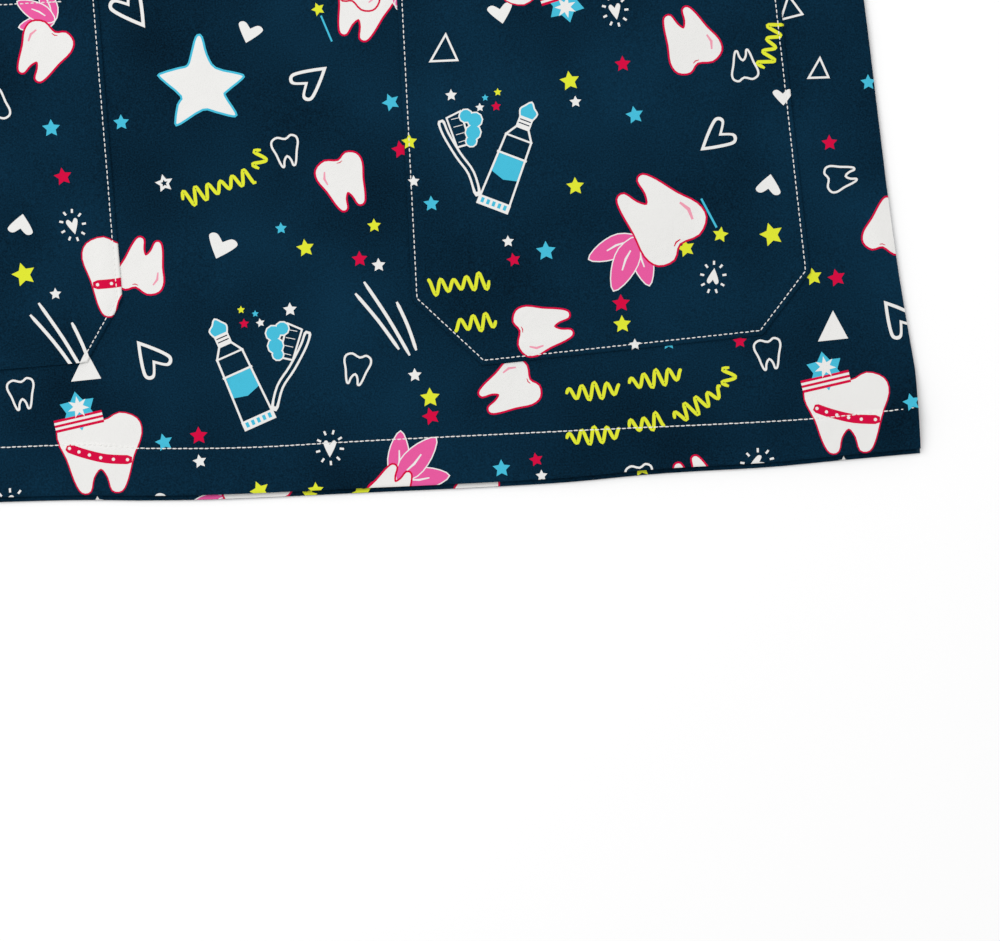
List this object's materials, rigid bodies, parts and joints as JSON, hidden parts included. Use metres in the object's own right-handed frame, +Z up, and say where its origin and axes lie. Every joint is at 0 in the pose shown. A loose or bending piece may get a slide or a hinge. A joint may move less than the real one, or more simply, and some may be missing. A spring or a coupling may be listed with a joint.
{
  "type": "printed clinic tunic",
  "caption": "Short-sleeved V-necked dental clinic tunic of printed cotton with patch pockets, lying flat, with hollow body, sleeves and pockets.",
  "frame": {"origin": "on the surface that the tunic lies on, under the middle of its outline", "axes": "+Z up from the surface, +Y from the hem to the neck, +X to the wearer's left"},
  "size_m": [0.8494, 0.7, 0.0169],
  "materials": {
    "printed_cloth": "plain weave printed cotton, matt",
    "neckband_cloth": "plain weave printed cotton, matt",
    "turned_cloth": "reverse of the printed cotton, matt",
    "label": "woven satin tape",
    "thread": "spun polyester thread"
  },
  "bodies": {
    "root": {"back_body": "printed_cloth", "front_body": "printed_cloth", "left_sleeve_back": "printed_cloth", "right_sleeve_back": "printed_cloth", "left_sleeve_front": "printed_cloth", "right_sleeve_front": "printed_cloth", "left_pocket": "printed_cloth", "right_pocket": "printed_cloth", "back_neckband": "neckband_cloth", "left_front_neckband": "neckband_cloth", "right_front_neckband": "neckband_cloth", "back_hem": "turned_cloth", "front_hem": "turned_cloth", "left_sleeve_hem": "turned_cloth", "right_sleeve_hem": "turned_cloth", "left_pocket_mouth_hem": "turned_cloth", "right_pocket_mouth_hem": "turned_cloth", "left_side_seam": "turned_cloth", "right_side_seam": "turned_cloth", "left_shoulder_seam": "turned_cloth", "right_shoulder_seam": "turned_cloth", "left_armhole_seam": "turned_cloth", "right_armhole_seam": "turned_cloth", "size_label": "label", "care_label": "label", "front_hem_stitching": "thread", "back_hem_stitching": "thread", "left_sleeve_hem_stitching": "thread", "right_sleeve_hem_stitching": "thread", "left_pocket_stitching": "thread", "right_pocket_stitching": "thread", "left_pocket_mouth_stitching": "thread", "right_pocket_mouth_stitching": "thread", "left_pocket_bartacks": "thread", "right_pocket_bartacks": "thread", "neckband_stitching": "thread"}
  },
  "joints": []
}
